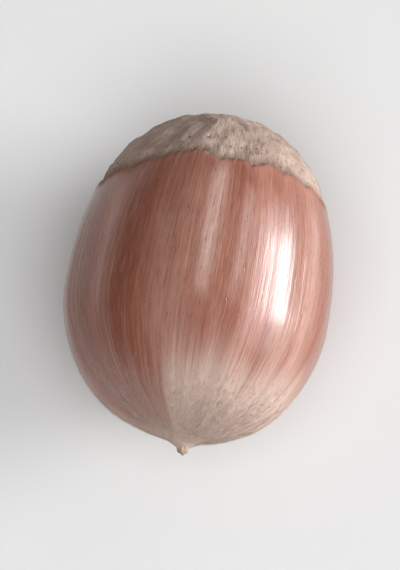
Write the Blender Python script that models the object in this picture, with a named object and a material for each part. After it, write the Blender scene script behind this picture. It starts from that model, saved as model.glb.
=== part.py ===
# Hazelnut in its shell, as picked, lying on one cheek.
# It is one grown body: a woody shell that carries the pale basal scar at one end
# and comes to a short beak at the other.
# Metres, +Z up, the floor at Z = 0. The beak points to -Y, the scar to +Y, and the
# origin is on the floor below the middle of the nut's box.

import math

import bmesh
import bpy
import numpy as np
from mathutils import Matrix, Vector, noise

# Driving dimensions
LENGTH = 0.0248  # from the middle of the scar to the end of the beak
WIDTH = 0.0189  # across the two side keels
THICKNESS = 0.0175  # between the two cheeks
WIDEST_SHARE = 0.56  # where the nut is widest, as a share of the length from the scar
LEAN_DEG = 3.0  # how far the beak end is raised as the nut lies
REST_DEPTH = 0.00018  # how much of the lower cheek is worn flat where the nut rests

# The outline, as powers of a superellipse: 2 and 2 make a plain ellipse
BASE_POWERS = (2.25, 2.2)  # along the axis, across it
TIP_POWERS = (2.15, 1.46)
FLARE_RADIUS, FLARE_HEIGHT = 0.00190, 0.00085  # the hollow sweep from the flanks to the beak
FLARE_POWER = 1.45  # above 1 the sweep is hollow
BEAK_RADIUS, BEAK_HEIGHT = 0.00038, 0.00045
BEAK_POWER = 1.35
TIP_OFFSET = 0.0009  # how far the beak sits to +X of the body's own axis
TIP_OFFSET_POWER = 3.0  # above 1 only the last of the nut leans over to it

# The scar's edge, in steps of the meridian from 0 at its middle to 1 at the widest ring
EDGE_MIDDLE = 0.592
EDGE_SLANT = -0.035  # it comes further down the -X side
EDGE_SADDLE = 0.047  # and further down both keels than down the cheeks
EDGE_WAVES = (3, 4, 5, 7)  # slow waves round the edge
EDGE_WAVE = 0.008
EDGE_TEETH = tuple(range(9, 22))  # its ragged teeth
EDGE_TOOTH = 0.007

# Relief, as heights above the plain outline
UNEVEN = (3, 4, 5)  # slow waves that keep the nut from being quite round
UNEVEN_HEIGHT = 0.00006
UNEVEN_RISES, UNEVEN_SINKS = (0.05, 0.60), (1.70, 2.00)  # between these steps of the meridian
RIBS = tuple(range(6, 23))  # waves round the nut that add up to uneven ribs
RIB_HEIGHT = 0.000032
RIB_CALM = 1.0  # above 0 the narrow ribs are lower than the wide ones
RIB_DRIFT = 0.9  # how far a wave wanders round the nut on its way to the tip, in radians
RIB_RISE = 0.30  # the ribs have their full height this many steps past the scar's edge
RIB_SINKS = (1.88, 2.00)
RIDGES = (  # angle round the axis, height and half width: angles in degrees, 90 is on top
    (2.0, 0.00042, 20.0),
    (56.0, 0.00012, 14.0),
    (100.0, 0.00038, 19.0),
    (146.0, 0.00014, 14.0),
    (186.0, 0.00042, 20.0),
    (236.0, 0.00016, 16.0),
    (286.0, 0.00030, 18.0),
)
RIDGE_START, RIDGE_FULL = 1.15, 1.70  # steps of the meridian, as are the two below
RIDGE_SINKS, RIDGE_ENDS = 1.70, 2.20
WORN_DEG, WORN_STEPS = 34.0, 0.45  # the lower cheek is rubbed smooth round the resting spot
LIP_HEIGHT = 0.00004  # the shell's skin stands up where it ends
LIP_WIDTH = 0.030
GROOVE_DEPTH = 0.00008  # just inside the scar's edge
GROOVE_AT, GROOVE_WIDTH = 0.955, 0.030  # shares of the way from the scar's middle
RING_HEIGHT = 0.00006
RING_AT, RING_WIDTH = 0.80, 0.09
DIMPLE_DEPTH = 0.00020
DIMPLE_WIDTH = 0.22
WRINKLES = tuple(range(8, 24))
WRINKLE_HEIGHT = 0.000030
WRINKLE_RISES = (0.40, 0.75)  # between these shares of the way from the scar's middle
ROUGH_SINKS = (0.88, 0.97)  # there the wrinkles and lumps fade before the scar's edge
GRAIN_SIZE = 0.0011  # the scar's corky lumps
GRAIN_HEIGHT = 0.000040
NOISE_HEIGHT = 0.3  # the plain noise's own root mean square height

# The mesh
COLUMNS = 104
SCAR_ROWS, SHELL_ROWS, BEAK_ROWS = 14, 28, 7
SCAR_CROWDING = 1.35  # above 1 the rows crowd towards the scar's edge
SNAP = REST_DEPTH / 20.0  # points this near to the floor count as lying on it
SEED = 7

# Finishes: colour, roughness
SHELL_FINISH = ((0.27, 0.105, 0.055, 1.0), 0.34)
SCAR_FINISH = ((0.42, 0.31, 0.20, 1.0), 0.85)
DOWN_FINISH = ((0.45, 0.35, 0.27, 1.0), 0.75)
DOWN_START = 1.62  # step of the meridian where the tip's pale down begins
SHARP_ANGLE_DEG = 40.0

WIDEST, TIP, END = 1.0, 2.0, 3.0  # steps of the meridian: 0 is the scar's middle
SMALL_STEP = 0.002


def smooth_step(low, high, value):
    share = np.clip((value - low) / (high - low), 0.0, 1.0)
    return share * share * (3.0 - 2.0 * share)


def bell(value, middle, width):
    return np.exp(-(((value - middle) / width) ** 2))


def waves(angle, orders, seed, drift=0.0, calm=0.0):
    """Uneven waves round the axis with a root mean square height of 1."""
    random = np.random.default_rng(seed)
    total = np.zeros_like(angle)
    power = 0.0
    for order in orders:
        phase = random.uniform(0.0, math.tau)
        wander = random.uniform(-1.0, 1.0) * drift
        size = (orders[0] / order) ** calm
        total += size * np.cos(order * angle + phase + wander)
        power += size * size / 2.0
    return total / math.sqrt(power)


def lumps(points):
    """Uneven lumps about one unit across, with a root mean square height near 1."""
    return np.array([noise.noise(Vector(point)) for point in points]) / NOISE_HEIGHT


def scar_edge(angle):
    """The step of the meridian at which the scar ends, round the axis."""
    slow = EDGE_WAVE * waves(angle, EDGE_WAVES, SEED + 1)
    teeth = EDGE_TOOTH * waves(angle, EDGE_TEETH, SEED + 2)
    return EDGE_MIDDLE + EDGE_SLANT * np.cos(angle) + EDGE_SADDLE * np.cos(2.0 * angle) + slow + teeth


def outline(step):
    """Distance along the axis, and distance from it, at a step of the meridian."""
    widest = LENGTH * WIDEST_SHARE
    full_radius = (WIDTH + THICKNESS) / 4.0
    flare_turn = math.acos((FLARE_RADIUS / full_radius) ** (TIP_POWERS[1] / 2.0))
    reach = (LENGTH - BEAK_HEIGHT - FLARE_HEIGHT - widest) / math.sin(flare_turn) ** (2.0 / TIP_POWERS[0])

    base = np.clip(1.0 - step, 0.0, 1.0) * math.pi / 2.0
    tip = np.clip(step - WIDEST, 0.0, 1.0) * flare_turn
    flare = np.clip(2.0 * (step - TIP), 0.0, 1.0)
    beak = np.clip(2.0 * (step - TIP) - 1.0, 0.0, 1.0) * math.pi / 2.0

    along = widest * (1.0 - np.sin(base) ** (2.0 / BASE_POWERS[0]))
    along += reach * np.sin(tip) ** (2.0 / TIP_POWERS[0])
    along += FLARE_HEIGHT * flare + BEAK_HEIGHT * np.sin(beak)

    body = full_radius * np.cos(base) ** (2.0 / BASE_POWERS[1]) * np.cos(tip) ** (2.0 / TIP_POWERS[1])
    point = BEAK_RADIUS * np.cos(beak) ** (2.0 / BEAK_POWER)
    point += (FLARE_RADIUS - BEAK_RADIUS) * (1.0 - flare) ** FLARE_POWER
    return along, np.where(step > TIP, point, body)


def plain_surface(angle, step):
    """Points of the nut without its relief: X and Y across the axis, Z along it."""
    along, radius = outline(step)
    offset_start = LENGTH * WIDEST_SHARE
    towards_tip = np.clip((along - offset_start) / (LENGTH - offset_start), 0.0, 1.0)
    offset = TIP_OFFSET * towards_tip**TIP_OFFSET_POWER
    flatness = (WIDTH - THICKNESS) / (WIDTH + THICKNESS)
    x = radius * (1.0 + flatness) * np.cos(angle) + offset
    y = radius * (1.0 - flatness) * np.sin(angle)
    return np.stack([x, y, along], axis=-1)


def outward(angle, step):
    """Unit normals of the plain surface."""
    step = np.clip(step, SMALL_STEP, END - SMALL_STEP)
    ahead = plain_surface(angle, step + SMALL_STEP / 2) - plain_surface(angle, step - SMALL_STEP / 2)
    turned = plain_surface(angle + SMALL_STEP, step) - plain_surface(angle - SMALL_STEP, step)
    normal = np.cross(turned, ahead)
    return normal / np.linalg.norm(normal, axis=-1, keepdims=True)


def degrees_from(angle, middle):
    return np.degrees(np.angle(np.exp(1j * (angle - math.radians(middle)))))


def uneven_relief(angle, step):
    """Slow swells all over the body."""
    fade = smooth_step(*UNEVEN_RISES, step) * (1.0 - smooth_step(*UNEVEN_SINKS, step))
    return UNEVEN_HEIGHT * waves(angle, UNEVEN, SEED + 5, step) * fade


def shell_relief(angle, step):
    """Uneven ribs along the shell, the ridges that meet at the tip, and the skin's lip."""
    edge = scar_edge(angle)
    worn = bell(degrees_from(angle, -90.0), 0.0, WORN_DEG) * bell(step, WIDEST, WORN_STEPS)
    on_shell = smooth_step(0.0, RIB_RISE, step - edge) * (1.0 - smooth_step(*RIB_SINKS, step))
    height = RIB_HEIGHT * waves(angle, RIBS, SEED + 3, RIB_DRIFT * (step - WIDEST), RIB_CALM) * on_shell
    towards_tip = smooth_step(RIDGE_START, RIDGE_FULL, step)
    towards_tip *= 1.0 - smooth_step(RIDGE_SINKS, RIDGE_ENDS, step)
    for middle, ridge_height, half_width in RIDGES:
        height += ridge_height * bell(degrees_from(angle, middle), 0.0, half_width) * towards_tip
    height *= 1.0 - worn
    return height + LIP_HEIGHT * bell(step, edge + LIP_WIDTH / 2.0, LIP_WIDTH) * (step >= edge)


def scar_relief(angle, step):
    """The groove inside the scar's edge, the raised ring, the corky lumps and the dimple."""
    inward = step / scar_edge(angle)
    groove = -GROOVE_DEPTH * bell(inward, GROOVE_AT, GROOVE_WIDTH)
    ring = RING_HEIGHT * bell(inward, RING_AT, RING_WIDTH)
    dimple = -DIMPLE_DEPTH * bell(inward, 0.0, DIMPLE_WIDTH)
    before_edge = 1.0 - smooth_step(*ROUGH_SINKS, inward)
    wrinkles = WRINKLE_HEIGHT * waves(angle, WRINKLES, SEED + 4, inward) * smooth_step(*WRINKLE_RISES, inward)
    grain = GRAIN_HEIGHT * lumps(plain_surface(angle, step) / GRAIN_SIZE)
    return (groove + ring + dimple + (wrinkles + grain) * before_edge) * (inward < 1.0)


def row_step(row, angle):
    """The step of the meridian for a row of the mesh, with one row along the scar's edge."""
    edge = scar_edge(angle)
    in_scar = np.clip(row / SCAR_ROWS, 0.0, 1.0)
    in_shell = np.clip((row - SCAR_ROWS) / SHELL_ROWS, 0.0, 1.0)
    in_beak = np.clip((row - SCAR_ROWS - SHELL_ROWS) / BEAK_ROWS, 0.0, 1.0)
    return edge * (1.0 - (1.0 - in_scar) ** SCAR_CROWDING) + (TIP - edge) * in_shell + in_beak


def shaped_ball():
    """A ball whose rings become the rows of the nut, scar first, with each row's number."""
    mesh = bmesh.new()
    rows = SCAR_ROWS + SHELL_ROWS + BEAK_ROWS
    bmesh.ops.create_uvsphere(mesh, u_segments=COLUMNS, v_segments=rows, radius=1.0)
    ball = np.array([vertex.co for vertex in mesh.verts])
    angle = np.arctan2(ball[:, 1], ball[:, 0])
    row = np.rint(np.arccos(np.clip(-ball[:, 2], -1.0, 1.0)) / math.pi * rows)
    step = row_step(row, angle)
    height = uneven_relief(angle, step) + shell_relief(angle, step) + scar_relief(angle, step)
    points = plain_surface(angle, step) + height[:, None] * outward(angle, step)
    for vertex, point in zip(mesh.verts, points):
        vertex.co = Vector(point)
    return mesh, dict(zip(mesh.verts, zip(row, step)))


def paint_faces(mesh, rows):
    """Shell, scar or downy tip, by the rows that a face lies between."""
    for face in mesh.faces:
        row = max(rows[vertex][0] for vertex in face.verts)
        step = min(rows[vertex][1] for vertex in face.verts)
        face.material_index = 1 if row <= SCAR_ROWS else 2 if step > DOWN_START else 0
        face.smooth = True


def lay_down(mesh):
    """Turns the axis to -Y with the beak raised, and wears the resting spot flat."""
    lean = math.radians(LEAN_DEG)
    across = Vector((1.0, 0.0, 0.0))
    axis = Vector((0.0, -math.cos(lean), math.sin(lean)))
    up = axis.cross(across)
    mesh.transform(Matrix((across, up, axis)).transposed().to_4x4())
    lowest = min(vertex.co.z for vertex in mesh.verts)
    mesh.transform(Matrix.Translation((0.0, 0.0, -lowest - REST_DEPTH)))
    floor = {"plane_co": (0.0, 0.0, 0.0), "plane_no": (0.0, 0.0, 1.0)}
    everything = mesh.verts[:] + mesh.edges[:] + mesh.faces[:]
    bmesh.ops.bisect_plane(mesh, geom=everything, dist=SNAP, clear_inner=True, **floor)
    open_edges = [edge for edge in mesh.edges if edge.is_boundary]
    for edge in open_edges:
        for vertex in edge.verts:
            vertex.co.z = 0.0
    spot = bmesh.ops.edgeloop_fill(mesh, edges=open_edges)["faces"]
    for face in spot:
        face.smooth = False
    bmesh.ops.recalc_face_normals(mesh, faces=mesh.faces)


def centre_on_floor(mesh):
    corners = np.array([vertex.co for vertex in mesh.verts])
    middle = (corners.min(axis=0) + corners.max(axis=0)) / 2.0
    mesh.transform(Matrix.Translation((-middle[0], -middle[1], 0.0)))


def make_finish(name, finish):
    material = bpy.data.materials.new(name)
    material.use_nodes = True
    shader = material.node_tree.nodes["Principled BSDF"]
    shader.inputs["Base Color"].default_value = finish[0]
    shader.inputs["Roughness"].default_value = finish[1]
    shader.inputs["Metallic"].default_value = 0.0
    return material


def make_hazelnut():
    mesh, rows = shaped_ball()
    paint_faces(mesh, rows)
    lay_down(mesh)
    centre_on_floor(mesh)
    data = bpy.data.meshes.new("hazelnut")
    mesh.to_mesh(data)
    mesh.free()
    data.set_sharp_from_angle(angle=math.radians(SHARP_ANGLE_DEG))
    for name, finish in (("shell", SHELL_FINISH), ("scar", SCAR_FINISH), ("down", DOWN_FINISH)):
        data.materials.append(make_finish(name, finish))
    hazelnut = bpy.data.objects.new("hazelnut", data)
    bpy.context.scene.collection.objects.link(hazelnut)
    return hazelnut


for old in list(bpy.data.objects):
    bpy.data.objects.remove(old)
make_hazelnut()
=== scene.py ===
import math

import bpy
import numpy as np
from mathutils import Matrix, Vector, noise


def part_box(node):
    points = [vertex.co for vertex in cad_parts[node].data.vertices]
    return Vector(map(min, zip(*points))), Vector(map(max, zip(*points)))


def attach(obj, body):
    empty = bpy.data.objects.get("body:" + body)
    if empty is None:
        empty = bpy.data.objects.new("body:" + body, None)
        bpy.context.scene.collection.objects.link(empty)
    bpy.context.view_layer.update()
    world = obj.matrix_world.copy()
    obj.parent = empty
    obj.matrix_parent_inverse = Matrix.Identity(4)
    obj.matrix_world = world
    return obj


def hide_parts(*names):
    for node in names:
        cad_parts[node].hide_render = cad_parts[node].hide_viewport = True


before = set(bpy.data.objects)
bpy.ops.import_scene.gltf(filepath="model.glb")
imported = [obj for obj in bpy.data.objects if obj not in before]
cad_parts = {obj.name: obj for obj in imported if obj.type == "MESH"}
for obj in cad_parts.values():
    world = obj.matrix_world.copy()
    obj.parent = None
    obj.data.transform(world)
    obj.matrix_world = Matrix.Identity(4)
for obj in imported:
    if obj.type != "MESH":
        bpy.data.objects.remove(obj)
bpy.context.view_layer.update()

# A hazelnut in its shell, lying on one cheek. All lengths are in metres and the
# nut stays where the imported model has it: floor at Z = 0, beak towards -Y.
# Round the axis, 0 degrees is the +X side and 90 degrees is on top.
# Along the meridian a "step" counts from 0 at the middle of the scar.
atWidest, atBeak, atEnd = 1.0, 2.0, 3.0
plainNoiseHeight = 0.3  # the plain noise's own root mean square height

nutBody = {
    "length": 0.0248,
    "width": 0.0189,
    "thickness": 0.0175,
    "widestShare": 0.56,  # of the length, from the scar
    "leanDeg": 3.0,  # beak end raised
    "basePowers": (2.25, 2.2),  # along the axis and across it: 2 and 2 make an ellipse
    "tipPowers": (2.15, 1.46),
    "flareRadius": 0.00190,  # where the flanks sweep in to the beak
    "flareHeight": 0.00085,
    "flarePower": 1.45,  # above 1 the sweep is hollow
    "beakRadius": 0.00038,
    "beakHeight": 0.00045,
    "beakPower": 1.35,
    "tipOffset": 0.0009,  # how far to +X the beak sits
    "tipOffsetPower": 3.0,  # above 1 only the last of the nut leans over to it
    "columns": 560,
    "scarRows": 50,
    "shellRows": 98,
    "beakRows": 16,
    "scarCrowding": 1.35,  # above 1 the rows crowd towards the scar's edge
    "seed": 7,
}


def smoothStep(low, high, value):
    share = np.clip((value - low) / (high - low), 0.0, 1.0)
    return share * share * (3.0 - 2.0 * share)


def bell(value, middle, width):
    return np.exp(-(((value - middle) / width) ** 2))


def degreesFrom(angle, middle):
    return np.degrees(np.angle(np.exp(1j * (angle - np.radians(middle)))))


def waves(angle, orders, seed, drift=0.0, calm=0.0):
    # uneven waves round the axis, root mean square height 1; calm lowers the short ones
    random = np.random.default_rng(seed)
    total = np.zeros_like(angle)
    power = 0.0
    for order in orders:
        phase = random.uniform(0.0, math.tau)
        wander = random.uniform(-1.0, 1.0) * drift
        size = (orders[0] / order) ** calm
        total += size * np.cos(order * angle + phase + wander)
        power += size * size / 2.0
    return total / math.sqrt(power)


def lumps(points):
    # uneven lumps about one unit across, root mean square height near 1
    return np.array([noise.noise(Vector(point)) for point in points]) / plainNoiseHeight


def outline(step):
    # distance along the axis and distance from it
    body = nutBody
    widest = body["length"] * body["widestShare"]
    fullRadius = (body["width"] + body["thickness"]) / 4.0
    basePowers, tipPowers = body["basePowers"], body["tipPowers"]
    flareTurn = math.acos((body["flareRadius"] / fullRadius) ** (tipPowers[1] / 2.0))
    reach = body["length"] - body["beakHeight"] - body["flareHeight"] - widest
    reach /= math.sin(flareTurn) ** (2.0 / tipPowers[0])

    base = np.clip(atWidest - step, 0.0, 1.0) * math.pi / 2.0
    tip = np.clip(step - atWidest, 0.0, 1.0) * flareTurn
    flare = np.clip(2.0 * (step - atBeak), 0.0, 1.0)
    beak = np.clip(2.0 * (step - atBeak) - 1.0, 0.0, 1.0) * math.pi / 2.0

    along = widest * (1.0 - np.sin(base) ** (2.0 / basePowers[0]))
    along += reach * np.sin(tip) ** (2.0 / tipPowers[0])
    along += body["flareHeight"] * flare + body["beakHeight"] * np.sin(beak)

    wide = fullRadius * np.cos(base) ** (2.0 / basePowers[1]) * np.cos(tip) ** (2.0 / tipPowers[1])
    point = body["beakRadius"] * np.cos(beak) ** (2.0 / body["beakPower"])
    point += (body["flareRadius"] - body["beakRadius"]) * (1.0 - flare) ** body["flarePower"]
    return along, np.where(step > atBeak, point, wide)


def plainSurface(angle, step):
    # the nut without its relief: X and Y across the axis, Z along it
    along, radius = outline(step)
    start = nutBody["length"] * nutBody["widestShare"]
    towardsTip = np.clip((along - start) / (nutBody["length"] - start), 0.0, 1.0)
    offset = nutBody["tipOffset"] * towardsTip ** nutBody["tipOffsetPower"]
    flatness = (nutBody["width"] - nutBody["thickness"]) / (nutBody["width"] + nutBody["thickness"])
    x = radius * (1.0 + flatness) * np.cos(angle) + offset
    y = radius * (1.0 - flatness) * np.sin(angle)
    return np.stack([x, y, along], axis=-1)


def outward(angle, step):
    tiny = 0.002  # in steps and in radians
    step = np.clip(step, tiny, atEnd - tiny)
    ahead = plainSurface(angle, step + tiny / 2) - plainSurface(angle, step - tiny / 2)
    turned = plainSurface(angle + tiny, step) - plainSurface(angle - tiny, step)
    normal = np.cross(turned, ahead)
    return normal / np.linalg.norm(normal, axis=-1, keepdims=True)


# The step at which the scar ends, and what the skin of the shell does there
scarRim = {
    "middle": 0.592,
    "slant": -0.035,  # it comes further down the -X side
    "saddle": 0.047,  # and further down both keels than down the cheeks
    "slowWaves": (3, 4, 5, 7),  # waves in one turn round the nut
    "slowWave": 0.008,
    "teeth": tuple(range(9, 22)),
    "tooth": 0.007,
    "fineTeeth": tuple(range(24, 90)),
    "fineTooth": 0.0022,
    "lipHeight": 0.00004,
    "lipWidth": 0.030,
    "dry": (0.004, 0.040),  # the skin is dull this near to its edge
}


def scarEdge(angle):
    rim, seed = scarRim, nutBody["seed"]
    edge = rim["middle"] + rim["slant"] * np.cos(angle) + rim["saddle"] * np.cos(2.0 * angle)
    edge += rim["slowWave"] * waves(angle, rim["slowWaves"], seed + 1)
    edge += rim["tooth"] * waves(angle, rim["teeth"], seed + 2)
    return edge + rim["fineTooth"] * waves(angle, rim["fineTeeth"], seed + 12)


shellForm = {
    "unevenWaves": (3, 4, 5),  # they keep the nut from being quite round
    "unevenHeight": 0.00006,
    "unevenRises": (0.05, 0.60),  # over these steps, as in the pairs below
    "unevenSinks": (1.70, 2.00),
    "ribs": tuple(range(6, 23)),
    "ribHeight": 0.000032,
    "ribDrift": 0.9,  # the most that a wave's phase wanders in one step, in radians
    "ribCalm": 1.0,  # above 0 the narrow ribs are lower than the wide ones
    "ribRise": 0.30,  # steps from the scar's edge to the full height
    "ribSinks": (1.88, 2.00),
    "ridges": (  # degrees round, height, half width in degrees
        (2.0, 0.00042, 20.0),
        (56.0, 0.00012, 14.0),
        (100.0, 0.00038, 19.0),
        (146.0, 0.00014, 14.0),
        (186.0, 0.00042, 20.0),
        (236.0, 0.00016, 16.0),
        (286.0, 0.00030, 18.0),
    ),
    "ridgeRises": (1.15, 1.70),
    "ridgeSinks": (1.70, 2.20),
    "wornAtDeg": -90.0,  # the lower cheek is rubbed smooth round the resting spot
    "wornDeg": 34.0,
    "wornSteps": 0.45,
    "furrows": tuple(range(30, 120)),
    "furrowHeight": 0.0000030,
    "furrowDrift": 5.0,
    "beakDry": (2.30, 3.00),  # its dry colour grows over these steps
    "beakCreased": (2.30, 2.50),
    "creaseSize": (0.00022, 0.00022, 0.00044),  # twice across, then along
    "creaseHeight": 0.000034,
}


def beakRelief(angle, step):
    # the beak's dry end is creased
    creases = lumps(plainSurface(angle, step) / np.array(shellForm["creaseSize"]))
    return shellForm["creaseHeight"] * creases * smoothStep(*shellForm["beakCreased"], step)


def unevenRelief(angle, step):
    form, seed = shellForm, nutBody["seed"]
    fade = smoothStep(*form["unevenRises"], step) * (1.0 - smoothStep(*form["unevenSinks"], step))
    return form["unevenHeight"] * waves(angle, form["unevenWaves"], seed + 5, step) * fade


def shellRelief(angle, step):
    form, seed = shellForm, nutBody["seed"]
    edge = scarEdge(angle)
    worn = bell(degreesFrom(angle, form["wornAtDeg"]), 0.0, form["wornDeg"])
    worn *= bell(step, atWidest, form["wornSteps"])
    onShell = smoothStep(0.0, form["ribRise"], step - edge) * (1.0 - smoothStep(*form["ribSinks"], step))
    ribs = waves(angle, form["ribs"], seed + 3, form["ribDrift"] * (step - atWidest), form["ribCalm"])
    height = form["ribHeight"] * ribs * onShell
    furrows = waves(angle, form["furrows"], seed + 13, form["furrowDrift"] * (step - atWidest))
    height += form["furrowHeight"] * furrows * onShell
    towardsTip = smoothStep(*form["ridgeRises"], step) * (1.0 - smoothStep(*form["ridgeSinks"], step))
    for middle, ridgeHeight, halfWidth in form["ridges"]:
        height += ridgeHeight * bell(degreesFrom(angle, middle), 0.0, halfWidth) * towardsTip
    height *= 1.0 - worn
    lip = scarRim["lipHeight"] * bell(step, edge + scarRim["lipWidth"] / 2.0, scarRim["lipWidth"])
    return height + lip * (step >= edge)


# Places on the scar are shares of the way from its middle to its edge
scarForm = {
    "grooveDepth": 0.00008,
    "grooveAt": 0.955,
    "grooveWidth": 0.030,
    "grooveCloses": (0.985, 1.0),
    "ringHeight": 0.00006,
    "ringAt": 0.80,
    "ringWidth": 0.09,
    "dimpleDepth": 0.00020,
    "dimpleWidth": 0.22,
    "wrinkles": tuple(range(8, 24)),
    "wrinkleHeight": 0.000030,
    "wrinkleRises": (0.40, 0.75),
    "roughSinks": (0.88, 0.97),  # wrinkles and lumps fade before the edge
    "grainSize": 0.0011,
    "grainHeight": 0.000040,
    "fineGrains": ((0.00050, 0.000020), (0.00024, 0.000012)),  # size, height
    "fineShift": 7.0,  # so that the fine grains don't follow the lumps
}


def scarRelief(angle, step):
    form, seed = scarForm, nutBody["seed"]
    inward = step / scarEdge(angle)
    groove = -form["grooveDepth"] * np.where(
        inward < form["grooveAt"],
        bell(inward, form["grooveAt"], form["grooveWidth"]),
        1.0 - smoothStep(*form["grooveCloses"], inward),
    )
    ring = form["ringHeight"] * bell(inward, form["ringAt"], form["ringWidth"])
    dimple = -form["dimpleDepth"] * bell(inward, 0.0, form["dimpleWidth"])
    beforeEdge = 1.0 - smoothStep(*form["roughSinks"], inward)
    wrinkles = form["wrinkleHeight"] * waves(angle, form["wrinkles"], seed + 4, inward)
    wrinkles *= smoothStep(*form["wrinkleRises"], inward)
    plain = plainSurface(angle, step)
    coarse = form["grainHeight"] * lumps(plain / form["grainSize"])
    height = groove + ring + dimple + (wrinkles + coarse) * beforeEdge
    for size, grainHeight in form["fineGrains"]:
        height += grainHeight * lumps(plain / size + form["fineShift"])
    return height * (inward < 1.0)


def rowStep(row, angle):
    # the step at which a row of the mesh runs: one row follows the scar's edge
    scarRows, shellRows, beakRows = nutBody["scarRows"], nutBody["shellRows"], nutBody["beakRows"]
    edge = scarEdge(angle)
    inScar = np.clip(row / scarRows, 0.0, 1.0)
    inShell = np.clip((row - scarRows) / shellRows, 0.0, 1.0)
    inBeak = np.clip((row - scarRows - shellRows) / beakRows, 0.0, 1.0)
    return edge * (1.0 - (1.0 - inScar) ** nutBody["scarCrowding"]) + (atBeak - edge) * inShell + inBeak


def nutSurface(angle, step):
    # grain and creases are only worked out where there are some
    height = unevenRelief(angle, step) + shellRelief(angle, step)
    inScar = step < scarEdge(angle)
    height[inScar] += scarRelief(angle[inScar], step[inScar])
    onBeak = step > shellForm["beakCreased"][0]
    height[onBeak] += beakRelief(angle[onBeak], step[onBeak])
    return plainSurface(angle, step) + height[:, None] * outward(angle, step)


def layDown(points):
    # turns the axis to -Y, with the beak raised
    lean = math.radians(nutBody["leanDeg"])
    across = np.array([1.0, 0.0, 0.0])
    axis = np.array([0.0, -math.cos(lean), math.sin(lean)])
    upward = np.cross(axis, across)
    return points @ np.array([across, upward, axis])


def placeOnNode(points, nodeName="hazelnut"):
    # how far the laid-down nut has to move to lie where the CAD node lies
    low, high = (np.array(corner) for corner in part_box(nodeName))
    middle = (points.min(axis=0) + points.max(axis=0)) / 2.0
    move = (low + high) / 2.0 - middle
    move[2] = high[2] - points[:, 2].max()
    return move


def giveNumbers(data, name, values):
    # one number or one vector for each vertex, for the materials to read
    kind, field = ("FLOAT", "value") if values.ndim == 1 else ("FLOAT_VECTOR", "vector")
    layer = data.attributes.new(name, kind, "POINT")
    layer.data.foreach_set(field, values.astype(np.float32).ravel())


def newMaterial(name, roughness, coat=0.0, coatRoughness=0.1, specular=0.5):
    material = bpy.data.materials.new(name)
    material.use_nodes = True
    shader = material.node_tree.nodes["Principled BSDF"]
    shader.inputs["Roughness"].default_value = roughness
    shader.inputs["Coat Weight"].default_value = coat
    shader.inputs["Coat Roughness"].default_value = coatRoughness
    shader.inputs["Specular IOR Level"].default_value = specular
    return material, material.node_tree, shader


def place(tree, kind, inputs=None, **settings):
    made = tree.nodes.new(kind)
    for name, value in settings.items():
        setattr(made, name, value)
    for name, value in (inputs or {}).items():
        if isinstance(value, bpy.types.NodeSocket):
            tree.links.new(value, made.inputs[name])
        else:
            made.inputs[name].default_value = value
    return made


def readNumbers(tree, name, socket):
    return place(tree, "ShaderNodeAttribute", attribute_name=name).outputs[socket]


def grain(tree, vector, scale, detail=3.0, roughness=0.5, distortion=0.0):
    made = place(tree, "ShaderNodeTexNoise", {"Vector": vector, "Scale": scale, "Detail": detail})
    made.inputs["Roughness"].default_value = roughness
    made.inputs["Distortion"].default_value = distortion
    return made.outputs["Fac"]


def grownGrain(tree, grown, along, *numbers):
    # grain that follows the nut: the lower along is, the further it is drawn out to the tip
    drawn = place(tree, "ShaderNodeVectorMath", {0: grown, 1: (1.0, 1.0, along)}, operation="MULTIPLY")
    return grain(tree, drawn.outputs[0], *numbers)


def stretch(tree, value, low, high, newLow=0.0, newHigh=1.0):
    made = place(tree, "ShaderNodeMapRange", {"Value": value, "From Min": low, "From Max": high})
    made.inputs["To Min"].default_value = newLow
    made.inputs["To Max"].default_value = newHigh
    made.interpolation_type = "SMOOTHSTEP"
    return made.outputs["Result"]


def combine(tree, first, second, operation="MULTIPLY"):
    return place(tree, "ShaderNodeMath", {0: first, 1: second}, operation=operation).outputs[0]


def blendColours(tree, share, first, second, mode="MIX"):
    # a mix node has its colours in sockets 6 and 7, and its plain numbers in 2 and 3
    made = place(tree, "ShaderNodeMix", data_type="RGBA", blend_type=mode)
    for socket, value in ((made.inputs[0], share), (made.inputs[6], first), (made.inputs[7], second)):
        if isinstance(value, bpy.types.NodeSocket):
            tree.links.new(value, socket)
        else:
            socket.default_value = value
    return made.outputs[2]


raggedHoles = (0.35, 0.65, -0.06, 0.20)  # from a noise, to how far it shrinks a hole


def pinpricks(tree, vector, unevenness, scale, rimStart, rimEnd):
    # small holes of uneven size and shape, 1 in a hole and 0 round it
    cells = place(tree, "ShaderNodeTexVoronoi", {"Vector": vector, "Scale": scale}).outputs["Distance"]
    distance = combine(tree, cells, stretch(tree, unevenness, *raggedHoles), "ADD")
    return stretch(tree, distance, rimStart, rimEnd, 1.0, 0.0)


def addBump(tree, shader, height, strength, distance):
    made = place(tree, "ShaderNodeBump", {"Height": height, "Strength": strength, "Distance": distance})
    tree.links.new(made.outputs["Normal"], shader.inputs["Normal"])


# Slow light and dark bands along the shell
shellTone = {
    "waves": tuple(range(2, 12)),
    "calm": 0.3,
    "drift": 1.2,
    "seed": 3966,
    "middle": 0.5,  # 0 is dark, 1 is light
    "strength": 0.235,
    "warmBand": (114.0, 9.0, 0.30),  # degrees round, half width in degrees, how much lighter
}


def toneShare(angle, step):
    tone = shellTone
    slow = waves(angle, tone["waves"], tone["seed"], tone["drift"] * (step - atWidest), tone["calm"])
    middle, halfWidth, lift = tone["warmBand"]
    return tone["middle"] + tone["strength"] * slow + lift * bell(degreesFrom(angle, middle), 0.0, halfWidth)


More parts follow.
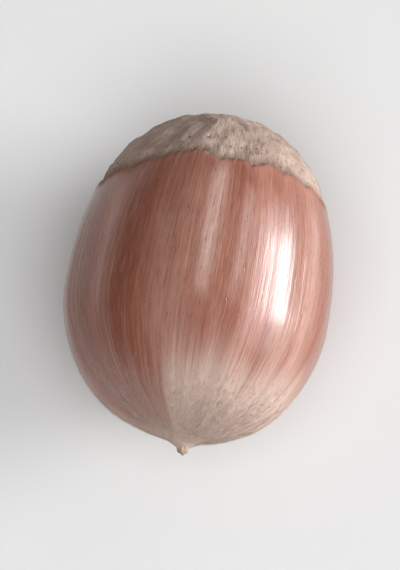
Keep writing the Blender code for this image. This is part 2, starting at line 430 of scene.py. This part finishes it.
# Four numbers together are a reach: two values of a pattern, and what they turn into.
# Two alone turn into 0 and 1.
shellFinish = {
    "mid": (0.262, 0.087, 0.051, 1.0),
    "dark": (0.178, 0.051, 0.030, 1.0),
    "light": (0.400, 0.201, 0.146, 1.0),
    # the pale band colour; at 87, 73 and 44 degrees it is also painted highlight streaks and glow
    "stripeAndGlint": (0.540, 0.345, 0.290, 1.0),
    "hairline": (0.085, 0.027, 0.017, 1.0),
    "down": (0.520, 0.385, 0.325, 1.0),
    "beak": (0.270, 0.172, 0.128, 1.0),
    "beakEnd": (0.120, 0.068, 0.046, 1.0),
    "patterns": {  # along the nut (lower is longer), scale, detail, roughness, distortion
        "bands": (0.30, 2.6, 2.0),
        "streaks": (0.12, 8.5, 3.0, 0.55, 0.1),
        "threads": (0.09, 34.0, 3.0, 0.6),
        "hairlines": (0.06, 85.0, 2.0, 0.5),
        "flecks": (0.30, 58.0, 2.0, 0.6, 0.3),
        "mottle": (1.2, 20.0, 4.0, 0.65),
    },
    "pricks": (30.0, 0.07, 0.15),  # scale, where the rim of a hole starts and ends
    "prickColour": 0.55,
    "bandTone": (0.3, 0.7, -0.2, 0.2),
    "midTone": (0.0, 0.7),
    "layers": (  # pattern, colour, and the reach to how much of the colour shows
        ("tone", "light", (0.55, 1.25, 0.0, 0.45)),
        ("streaks", "light", (0.45, 0.75, 0.0, 0.34)),
        ("threads", "light", (0.48, 0.75, 0.0, 0.24)),
        ("stripesAndGlints", "stripeAndGlint", None),
        ("flecks", "light", (0.50, 0.72, 0.0, 0.26)),
        ("flecks", "dark", (0.28, 0.50, 0.30, 0.0)),
        ("hairlines", "hairline", (0.52, 0.74, 0.0, 0.40)),
        ("mottle", "dark", (0.30, 0.70, 0.22, 0.0)),
    ),
    "downEdge": (0.3, 0.7, -0.12, 0.12),  # how the threads break it up
    "dryBeak": (  # colour, where it starts and is full, how the mottle breaks it up
        ("beak", (0.0, 0.5), (0.3, 0.7, 1.0, 0.4)),
        ("beakEnd", (0.55, 1.0), (0.35, 0.65, 0.25, 0.95)),
    ),
    "roughness": (0.3, 0.7, 0.26, 0.36),  # with the flecks
    "downRoughness": 0.75,
    "coat": 0.35,
    "coatRoughness": 0.19,
    "coatEnds": 0.5,  # share of the down at which the gloss is gone
    "relief": (("hairlines", -0.6), ("flecks", 0.7), ("mottle", 0.5), ("pricks", -0.8)),
    "downRelief": 0.35,
    "bump": (0.45, 0.00005),  # strength, height
}


def shellColour(tree, finish, marks, downMask):
    tone = stretch(tree, marks["tone"], *finish["midTone"])
    colour = blendColours(tree, tone, finish["dark"], finish["mid"])
    for pattern, name, reach in finish["layers"]:
        share = stretch(tree, marks[pattern], *reach) if reach else marks[pattern]
        colour = blendColours(tree, share, colour, finish[name])
    pricks = combine(tree, marks["pricks"], finish["prickColour"])
    colour = blendColours(tree, pricks, colour, finish["hairline"])
    colour = blendColours(tree, downMask, colour, finish["down"])
    beak = readNumbers(tree, "beakShare", "Fac")
    for name, onBeak, broken in finish["dryBeak"]:
        share = combine(tree, stretch(tree, beak, *onBeak), stretch(tree, marks["mottle"], *broken))
        colour = blendColours(tree, share, colour, finish[name])
    return colour


def shellMaterial():
    finish = shellFinish
    material, tree, shader = newMaterial(
        "hazelShell", finish["downRoughness"], finish["coat"], finish["coatRoughness"]
    )
    grown = readNumbers(tree, "grown", "Vector")
    marks = {name: grownGrain(tree, grown, *numbers) for name, numbers in finish["patterns"].items()}
    # pale bands, partly painted highlight streaks and glow beside the key light's highlight
    marks["stripesAndGlints"] = readNumbers(tree, "stripeAndGlintShare", "Fac")
    marks["pricks"] = pinpricks(tree, grown, marks["mottle"], *finish["pricks"])
    bandTone = stretch(tree, marks["bands"], *finish["bandTone"])
    marks["tone"] = combine(tree, readNumbers(tree, "toneShare", "Fac"), bandTone, "ADD")

    raggedEdge = stretch(tree, marks["threads"], *finish["downEdge"])
    raggedDown = combine(tree, readNumbers(tree, "downShare", "Fac"), raggedEdge, "ADD")
    downMask = stretch(tree, raggedDown, 0.0, 1.0)
    tree.links.new(shellColour(tree, finish, marks, downMask), shader.inputs["Base Color"])

    smoothness = stretch(tree, marks["flecks"], *finish["roughness"])
    dull = combine(tree, downMask, readNumbers(tree, "rimShare", "Fac"), "MAXIMUM")
    roughness = place(tree, "ShaderNodeMix", {0: dull, 2: smoothness, 3: finish["downRoughness"]})
    tree.links.new(roughness.outputs[0], shader.inputs["Roughness"])
    coat = stretch(tree, dull, 0.0, finish["coatEnds"], finish["coat"], 0.0)
    tree.links.new(coat, shader.inputs["Coat Weight"])

    relief = marks["threads"]
    for name, share in finish["relief"]:
        relief = combine(tree, relief, combine(tree, marks[name], share), "ADD")
    relief = combine(tree, relief, stretch(tree, downMask, 0.0, 1.0, 1.0, finish["downRelief"]))
    addBump(tree, shader, relief, *finish["bump"])
    return material


scarFinish = {
    "pale": (0.455, 0.342, 0.285, 1.0),
    "brown": (0.300, 0.208, 0.165, 1.0),
    "pore": (0.130, 0.080, 0.056, 1.0),
    # the dark border line at the scar's edge, partly its own colour and partly painted shade in the groove
    # there
    "rim": (0.170, 0.100, 0.070, 1.0),
    "mottle": (420.0, 4.0, 0.6),  # scale, detail, roughness
    "speck": (1700.0, 3.0, 0.65),
    "rays": (0.4, 14.0, 3.0, 0.6),  # along the nut, then the same three
    "fibres": (52.0, 3.0, 0.6),
    "outer": (0.25, 0.75),  # rays and fibres grow over these shares of the way to the edge
    "paleReach": (0.32, 0.68),
    "rayReach": (0.55, 0.72, 0.0, 0.35),
    "fibreReach": (0.45, 0.70),
    "fibreColour": 0.30,
    "speckReach": (0.58, 0.74, 0.0, 0.6),
    "pits": (1500.0, 0.08, 0.20),  # scale, where the rim of a pit starts and ends
    "smallPits": (3400.0, 0.08, 0.22),
    "smallPitDepth": 0.7,
    "pitColour": 0.75,
    "rimLineAndShadeReach": (0.90, 0.985, 0.0, 0.7),
    "roughness": (0.3, 0.7, 0.72, 0.92),  # with the mottle
    "fibreRelief": 0.4,
    "bump": (0.75, 0.00009),  # strength, height
}


def scarMaterial():
    finish = scarFinish
    material, tree, shader = newMaterial("corkyScar", finish["roughness"][-1], specular=0.3)
    position = place(tree, "ShaderNodeNewGeometry").outputs["Position"]
    inward = readNumbers(tree, "scarShare", "Fac")
    grown = readNumbers(tree, "grown", "Vector")

    mottle = grain(tree, position, *finish["mottle"])
    speck = grain(tree, position, *finish["speck"])
    outer = stretch(tree, inward, *finish["outer"])
    rays = stretch(tree, grownGrain(tree, grown, *finish["rays"]), *finish["rayReach"])
    fibres = stretch(tree, grain(tree, grown, *finish["fibres"]), *finish["fibreReach"])
    fibres = combine(tree, fibres, outer)
    pits = pinpricks(tree, position, speck, *finish["pits"])
    smallPits = pinpricks(tree, position, mottle, *finish["smallPits"])
    pits = combine(tree, pits, combine(tree, smallPits, finish["smallPitDepth"]), "MAXIMUM")

    colour = blendColours(tree, stretch(tree, mottle, *finish["paleReach"]), finish["brown"], finish["pale"])
    for share, name in (
        (combine(tree, rays, outer), "brown"),
        (combine(tree, fibres, finish["fibreColour"]), "brown"),
        (stretch(tree, speck, *finish["speckReach"]), "pore"),
        (combine(tree, pits, finish["pitColour"]), "pore"),
        # the dark border line, partly painted shade in the groove at the scar's edge
        (stretch(tree, inward, *finish["rimLineAndShadeReach"]), "rim"),
    ):
        colour = blendColours(tree, share, colour, finish[name])
    tree.links.new(colour, shader.inputs["Base Color"])
    tree.links.new(stretch(tree, mottle, *finish["roughness"]), shader.inputs["Roughness"])

    relief = combine(tree, speck, mottle, "ADD")
    relief = combine(tree, relief, combine(tree, fibres, finish["fibreRelief"]), "SUBTRACT")
    relief = combine(tree, relief, pits, "SUBTRACT")
    addBump(tree, shader, relief, *finish["bump"])
    return material


# Pale bands that run down from under the scar. The strongest two, at 87 and 73 degrees, run beside the key
# light's highlight and are partly painted highlight streaks; the one at 44 degrees is a painted glow below
# the highlight
paleStripesAndGlints = {
    "stripesAndGlints": (  # degrees round, half width in degrees, first and last step, strength
        # partly a painted highlight streak beside the key light's highlight
        (87.0, 4.2, 0.54, 1.14, 1.00),
        (98.0, 9.0, 0.60, 1.70, 0.20),
        # partly a painted highlight streak beside the key light's highlight
        (73.0, 3.0, 0.62, 1.14, 0.60),
        (106.0, 6.0, 0.74, 1.50, 0.24),
        (140.0, 4.0, 0.66, 1.30, 0.30),
        # a painted glow below the key light's highlight
        (44.0, 7.0, 0.96, 1.75, 0.45),
        (30.0, 4.5, 0.64, 1.45, 0.45),
        (-12.0, 4.0, 0.62, 1.40, 0.40),
        (-48.0, 5.0, 0.64, 1.50, 0.45),
        (-100.0, 4.0, 0.62, 1.35, 0.40),
        (-135.0, 5.5, 0.66, 1.45, 0.40),
        (168.0, 4.0, 0.62, 1.40, 0.45),
    ),
    "wanderDeg": 1.5,
    "wanderRate": 3.0,  # radians in a step
    "fadesIn": 0.12,  # over so many steps
    "fadesOut": 0.22,
}


# how much of the pale band colour shows, painted highlight streaks and glow included
def stripeAndGlintShare(angle, step):
    form = paleStripesAndGlints
    share = np.zeros_like(angle)
    for middle, halfWidth, first, last, strength in form["stripesAndGlints"]:
        wander = form["wanderDeg"] * np.sin(form["wanderRate"] * step + middle)
        alongShare = smoothStep(first, first + form["fadesIn"], step)
        alongShare *= 1.0 - smoothStep(last - form["fadesOut"], last, step)
        stripeAndGlint = strength * bell(degreesFrom(angle, middle + wander), 0.0, halfWidth)
        share = np.maximum(share, stripeAndGlint * alongShare)
    return share


downZone = {
    "start": 1.12,
    "full": 1.78,
    "waves": (1, 2, 3, 5, 7, 9),  # its edge is uneven
    "wave": 0.035,
    "thinAndShadedDeg": (98.5, 105.0, 175.0, 215.0),  # the down is sparser between the middle two, fading outside them: the flank left of the tip's ridge, away from the key light, where the sparser down is partly painted shade
    # how much sparser the down is there, which also darkens this flank as painted shade
    "thinAndShaded": 0.76,
    "evenFrom": (1.80, 2.10),  # towards the beak the down is the same all round
}


def downShare(angle, step):
    ragged = downZone["wave"] * waves(angle, downZone["waves"], nutBody["seed"] + 21)
    # sparser down on the flank left of the ridge, partly painted shade on the side away from the key light
    first, shadedFrom, shadedTo, last = downZone["thinAndShadedDeg"]
    turn = np.degrees(angle) % 360.0
    thinAndShaded = downZone["thinAndShaded"] * smoothStep(first, shadedFrom, turn) * (1.0 - smoothStep(shadedTo, last, turn))
    thinAndShaded *= 1.0 - smoothStep(*downZone["evenFrom"], step)
    return smoothStep(downZone["start"], downZone["full"], step + ragged) * (1.0 - thinAndShaded)


def ballMesh(name, columns, rows):
    # a closed mesh of rings between two poles, with each point's angle and row
    ring = np.arange(columns)
    after = (ring + 1) % columns
    last = 1 + columns * (rows - 1)
    faces = [(0, 1 + b, 1 + a) for a, b in zip(ring, after)]
    for row in range(rows - 2):
        low, high = 1 + columns * row, 1 + columns * (row + 1)
        faces += zip(low + ring, low + after, high + after, high + ring)
    faces += [(last - columns + a, last - columns + b, last) for a, b in zip(ring, after)]
    angle = np.concatenate([[0.0], np.tile(ring * math.tau / columns, rows - 1), [0.0]])
    row = np.concatenate([[0], np.repeat(np.arange(1, rows), columns), [rows]])
    data = bpy.data.meshes.new(name)
    data.from_pydata(np.zeros((last + 1, 3)).tolist(), [], [tuple(map(int, face)) for face in faces])
    data.polygons.foreach_set("use_smooth", np.ones(len(faces), dtype=bool))
    return data, angle, row


def mapFlat(data, columns, rows, rowShare):
    # across the map goes round the nut, up the map goes along it
    ring = np.arange(columns)
    turns = [np.stack([ring + 0.5, ring + 1, ring], axis=1)]
    turns += [np.stack([ring, ring + 1, ring + 1, ring], axis=1)] * (rows - 2)
    turns += [np.stack([ring, ring + 1, ring + 0.5], axis=1)]
    across = np.concatenate([faces.ravel() for faces in turns]) / columns
    corners = [(0, 1, 1)] + [(low, low, low + 1, low + 1) for low in range(1, rows - 1)]
    corners += [(rows - 1, rows - 1, rows)]
    up = rowShare[np.concatenate([np.tile(face, columns) for face in corners])]
    mapped = data.uv_layers.new(name="OFBake")
    mapped.data.foreach_set("uv", np.stack([across, up], axis=1).astype(np.float32).ravel())


def evenRows(rows):
    # each row's share of the way along the surface, so that the map isn't squeezed
    row = np.arange(rows + 1)
    along, radius = outline(rowStep(row, np.full(rows + 1, math.pi / 2.0)))
    lengths = np.hypot(np.diff(along), np.diff(radius))
    return np.concatenate([[0.0], np.cumsum(lengths)]) / lengths.sum()


def giveNutNumbers(data, angle, step):
    # "grown" is the space in which the shell's patterns follow the nut from scar to beak
    edge = scarEdge(angle)
    along = outline(step)[0] / nutBody["length"]
    giveNumbers(data, "grown", np.stack([np.cos(angle), np.sin(angle), along], axis=-1))
    giveNumbers(data, "downShare", downShare(angle, step))
    # pale bands, partly painted highlight streaks and glow
    giveNumbers(data, "stripeAndGlintShare", stripeAndGlintShare(angle, step))
    giveNumbers(data, "toneShare", toneShare(angle, step))
    giveNumbers(data, "scarShare", np.minimum(step / edge, 1.0))
    giveNumbers(data, "rimShare", 1.0 - smoothStep(*scarRim["dry"], step - edge))
    giveNumbers(data, "beakShare", smoothStep(*shellForm["beakDry"], step))


def makeNut():
    columns, scarRows = nutBody["columns"], nutBody["scarRows"]
    rows = scarRows + nutBody["shellRows"] + nutBody["beakRows"]
    data, angle, row = ballMesh("grownNut", columns, rows)
    mapFlat(data, columns, rows, evenRows(rows))
    faceRow = np.repeat(np.arange(1, rows + 1), columns)
    data.polygons.foreach_set("material_index", (faceRow <= scarRows).astype(np.int32))

    step = rowStep(row, angle)
    points = layDown(nutSurface(angle, step))
    move = placeOnNode(points)
    points += move
    points[:, 2] = np.maximum(points[:, 2], 0.0)  # the resting spot, worn flat
    data.vertices.foreach_set("co", points.astype(np.float32).ravel())
    giveNutNumbers(data, angle, step)
    data.update()
    data.materials.append(shellMaterial())
    data.materials.append(scarMaterial())
    nut = bpy.data.objects.new("grownNut", data)
    bpy.context.scene.collection.objects.link(nut)
    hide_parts("hazelnut")
    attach(nut, "root")
    return move


nutMove = makeNut()
print("hazelnut: shell and scar made")

# Fine pale hairs that lie along the tip towards the beak
tipDown = {
    "hairs": 17000,
    "tries": 6,  # places drawn for each hair
    "first": 1.30,
    "thick": 1.80,
    "last": 2.50,
    "onBeak": 0.25,  # fewer are wanted there, because the beak's steps are short
    "fullAt": 0.6,  # where the wanted share is this much, every draw is kept
    "floorGap": 0.0003,  # no hair grows lower than this
    "length": (0.00025, 0.00065),
    "beakLength": 0.35,  # how short the hairs get at the beak
    "shortensFrom": 1.85,
    "radius": 0.000007,
    "sunk": 3.0,  # how many radii the root goes into the nut
    "bendAt": 0.5,
    "bendRadius": 0.75,
    "endAt": 0.95,
    "droop": 0.25,
    "droopWay": (0.6, 0.5),  # towards the nut, and to either side
    "raise": (4.0, 24.0),  # degrees off the surface
    "swing": 22.0,  # degrees off the way to the beak
    "tones": 16,
    "toneStride": 7,  # so that hairs drawn one after another differ
    "seed": 31,
}

downFinish = {
    "root": (0.56, 0.415, 0.35, 1.0),
    "end": (0.69, 0.56, 0.48, 1.0),
    "darkest": 0.82,
    "roughness": 0.6,
}


def hairMaterial(name, finish):
    material, tree, shader = newMaterial(name, finish["roughness"], specular=0.3)
    share = readNumbers(tree, "hairShare", "Fac")
    colour = blendColours(tree, share, finish["root"], finish["end"])
    shade = stretch(tree, readNumbers(tree, "hairTone", "Fac"), 0.0, 1.0, finish["darkest"], 1.0)
    tree.links.new(blendColours(tree, 1.0, colour, shade, "MULTIPLY"), shader.inputs["Base Color"])
    return material


def mapHairs(data, tone, tones):
    # each tone has a strip of the map, with the hairs' three sides beside each other
    sides = [((0.0, a), (0.0, a + 1), (0.5, a + 1), (0.5, a)) for a in range(3)]
    sides += [((0.5, a), (0.5, a + 1), (1.0, a + 0.5)) for a in range(3)]
    flat = np.tile(np.array([corner for face in sides for corner in face]), (len(tone), 1, 1))
    flat[:, :, 1] = (flat[:, :, 1] / 3.0 + tone[:, None]) / tones
    data.uv_layers.new(name="OFBake").data.foreach_set("uv", flat.astype(np.float32).ravel())


def hairMesh(name, form, roots, ways, lengths, bends):
    # each hair is a three-sided spike with one bend in it, and has one of a few tones:
    # corners 0 to 2 are at its root, 3 to 5 at the bend and 6 at its end
    count, radius = len(roots), form["radius"]
    side = np.cross(ways, bends)
    side /= np.linalg.norm(side, axis=1, keepdims=True)
    other = np.cross(ways, side)
    sunkRoots = roots - ways * radius * form["sunk"]
    middles = roots + ways * lengths[:, None] * form["bendAt"]
    ends = roots + ways * lengths[:, None] * form["endAt"] + bends * lengths[:, None] * form["droop"]
    corners = []
    for ring, size in ((sunkRoots, radius), (middles, radius * form["bendRadius"])):
        for turn in range(3):
            spread = side * math.cos(turn * math.tau / 3) + other * math.sin(turn * math.tau / 3)
            corners.append(ring + spread * size)
    corners.append(ends)
    each = len(corners)
    spike = [(a, (a + 1) % 3, 3 + (a + 1) % 3, 3 + a) for a in range(3)]
    spike += [(3 + a, 3 + (a + 1) % 3, 6) for a in range(3)]
    faces = [tuple(each * hair + corner for corner in face) for hair in range(count) for face in spike]

    data = bpy.data.meshes.new(name)
    data.from_pydata(np.stack(corners, axis=1).reshape(-1, 3).tolist(), [], faces)
    data.polygons.foreach_set("use_smooth", np.ones(len(faces), dtype=bool))
    tone = (np.arange(count) * form["toneStride"]) % form["tones"]
    giveNumbers(data, "hairShare", np.tile([0.0, 0.0, 0.0, 0.5, 0.5, 0.5, 1.0], count))
    giveNumbers(data, "hairTone", np.repeat(tone / (form["tones"] - 1), each))
    mapHairs(data, tone, form["tones"])
    return data


def surfaceFrame(angle, step):
    # places, outward ways and ways towards the beak, all on the laid-down nut
    small = 0.004  # in steps and in radians
    here = nutSurface(angle, step)
    ahead = nutSurface(angle, step + small) - nutSurface(angle, step - small)
    beside = nutSurface(angle + small, step) - nutSurface(angle - small, step)
    ahead /= np.linalg.norm(ahead, axis=1, keepdims=True)
    out = np.cross(beside, ahead)
    out /= np.linalg.norm(out, axis=1, keepdims=True)
    return layDown(here) + nutMove, layDown(out), layDown(ahead)


def hairPlaces(form, random):
    # where the hairs grow: thicker towards the tip, and only where there is down
    angle = random.uniform(-math.pi, math.pi, form["hairs"] * form["tries"])
    step = random.uniform(form["first"], form["last"], form["hairs"] * form["tries"])
    wanted = outline(step)[1] / (nutBody["width"] / 2.0) * smoothStep(form["first"], form["thick"], step)
    wanted = wanted * np.where(step > atBeak, form["onBeak"], 1.0)
    wanted = wanted * downShare(angle, step)
    kept = np.flatnonzero(random.uniform(0.0, form["fullAt"], len(step)) < wanted)[: form["hairs"]]
    return angle[kept], step[kept]


def makeTipDown():
    form = tipDown
    random = np.random.default_rng(form["seed"])
    angle, step = hairPlaces(form, random)
    roots, out, ahead = surfaceFrame(angle, step)
    above = roots[:, 2] > form["floorGap"]
    roots, out, ahead = roots[above], out[above], ahead[above]
    count = len(roots)
    swing = np.radians(random.normal(0.0, form["swing"], count))[:, None]
    lift = np.radians(random.uniform(*form["raise"], count))[:, None]
    beside = np.cross(out, ahead)
    along = ahead * np.cos(swing) + beside * np.sin(swing)
    ways = along * np.cos(lift) + out * np.sin(lift)
    inward, aside = form["droopWay"]
    bends = -out * inward + beside * random.normal(0.0, aside, count)[:, None]
    bends /= np.linalg.norm(bends, axis=1, keepdims=True)
    lengths = random.uniform(*form["length"], count)
    shortened = smoothStep(form["shortensFrom"], form["last"], step[above])
    lengths *= 1.0 - (1.0 - form["beakLength"]) * shortened

    data = hairMesh("tipDown", form, roots, ways, lengths, bends)
    data.materials.append(hairMaterial("tipDown", downFinish))
    data.update()
    made = bpy.data.objects.new("tipDown", data)
    bpy.context.scene.collection.objects.link(made)
    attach(made, "root")
    return count


print("hazelnut: down on the tip,", makeTipDown(), "hairs")

# Floor, light and camera. Seen from the nut, azimuth 0 is towards -Y and 90 towards +X.
studio = {
    "floorColour": (0.69, 0.69, 0.69, 1.0),
    "floorSize": 3.0,
    "floorRoughness": 0.9,
    "floorGrain": (60.0, 2.0),  # scale, detail
    "floorTone": (0.3, 0.7, 0.985, 1.0),
    "skyColour": (1.0, 1.0, 1.0, 1.0),
    "skyStrength": (0.14, 0.42),  # at the -X horizon and at the +X horizon
    "aim": (0.0, 0.0, 0.009),  # what the lights point at
}

keySoftbox = {
    "power": 10.2,
    "colour": (1.0, 1.0, 1.0),
    "size": (0.46, 0.38),
    "distance": 0.84,
    "azimuthDeg": 104.0,
    "elevationDeg": 13.0,
}

widePanel = {
    "power": 2.4,
    "colour": (1.0, 1.0, 1.0),
    "size": (0.50, 0.50),
    "distance": 0.55,
    "azimuthDeg": 10.0,
    "elevationDeg": 70.0,
}

sheenPanel = {
    "power": 3.0,
    "colour": (0.82, 0.92, 1.0),
    "size": (0.60, 0.46),
    "distance": 0.45,
    "azimuthDeg": 100.0,
    "elevationDeg": 30.0,
}

lens = {
    "azimuthDeg": 10.0,
    "elevationDeg": 81.0,
    "distance": 0.60,
    "frameWidth": 0.0285,  # what the 400 pixel wide picture takes in at the nut
    "sensorWidth": 36.0,  # in millimetres
    "clip": (0.01, 20.0),
    "target": (0.0, 0.0, 0.0087),
}


def floorMaterial():
    material, tree, shader = newMaterial("paleFloor", studio["floorRoughness"], specular=0.0)
    position = place(tree, "ShaderNodeNewGeometry").outputs["Position"]
    tone = stretch(tree, grain(tree, position, *studio["floorGrain"]), *studio["floorTone"])
    colour = blendColours(tree, 1.0, studio["floorColour"], tone, "MULTIPLY")
    tree.links.new(colour, shader.inputs["Base Color"])
    return material


def makeFloor():
    half = studio["floorSize"] / 2.0
    corners = [(-half, -half, 0), (half, -half, 0), (half, half, 0), (-half, half, 0)]
    data = bpy.data.meshes.new("floor")
    data.from_pydata(corners, [], [(0, 1, 2, 3)])
    data.materials.append(floorMaterial())
    floor = bpy.data.objects.new("floor", data)
    bpy.context.scene.collection.objects.link(floor)


def aimedAt(thing, target):
    thing.rotation_euler = (thing.location - Vector(target)).to_track_quat("Z", "Y").to_euler()


def onSphere(form):
    azimuth, elevation = math.radians(form["azimuthDeg"]), math.radians(form["elevationDeg"])
    flat = math.cos(elevation) * form["distance"]
    height = math.sin(elevation) * form["distance"]
    return Vector((math.sin(azimuth) * flat, -math.cos(azimuth) * flat, height))


def areaLight(name, form):
    light = bpy.data.lights.new(name, "AREA")
    light.shape = "RECTANGLE"
    light.energy = form["power"]
    light.color = form["colour"]
    light.size, light.size_y = form["size"]
    made = bpy.data.objects.new(name, light)
    made.location = Vector(studio["aim"]) + onSphere(form)
    aimedAt(made, studio["aim"])
    bpy.context.scene.collection.objects.link(made)
    return made


def makeSky():
    world = bpy.data.worlds.new("studioSky")
    world.use_nodes = True
    tree = world.node_tree
    way = place(tree, "ShaderNodeSeparateXYZ", {0: place(tree, "ShaderNodeTexCoord").outputs["Generated"]})
    strength = stretch(tree, way.outputs["X"], -1.0, 1.0, *studio["skyStrength"])
    tree.nodes["Background"].inputs["Color"].default_value = studio["skyColour"]
    tree.links.new(strength, tree.nodes["Background"].inputs["Strength"])
    bpy.context.scene.world = world


def makeLights():
    areaLight("keySoftbox", keySoftbox)
    areaLight("widePanel", widePanel).visible_glossy = False  # it only fills the shade
    areaLight("sheenPanel", sheenPanel).visible_diffuse = False  # it only gives the soft sheen
    bpy.context.scene.view_settings.view_transform = "Standard"


def makeCamera():
    data = bpy.data.cameras.new("camera")
    data.sensor_fit = "HORIZONTAL"
    data.sensor_width = lens["sensorWidth"]
    data.lens = data.sensor_width * lens["distance"] / lens["frameWidth"]
    data.clip_start, data.clip_end = lens["clip"]
    camera = bpy.data.objects.new("camera", data)
    camera.location = Vector(lens["target"]) + onSphere(lens)
    aimedAt(camera, lens["target"])
    bpy.context.scene.collection.objects.link(camera)
    bpy.context.scene.camera = camera


makeFloor()
makeSky()
makeLights()
makeCamera()
print("hazelnut: floor, light and camera set")
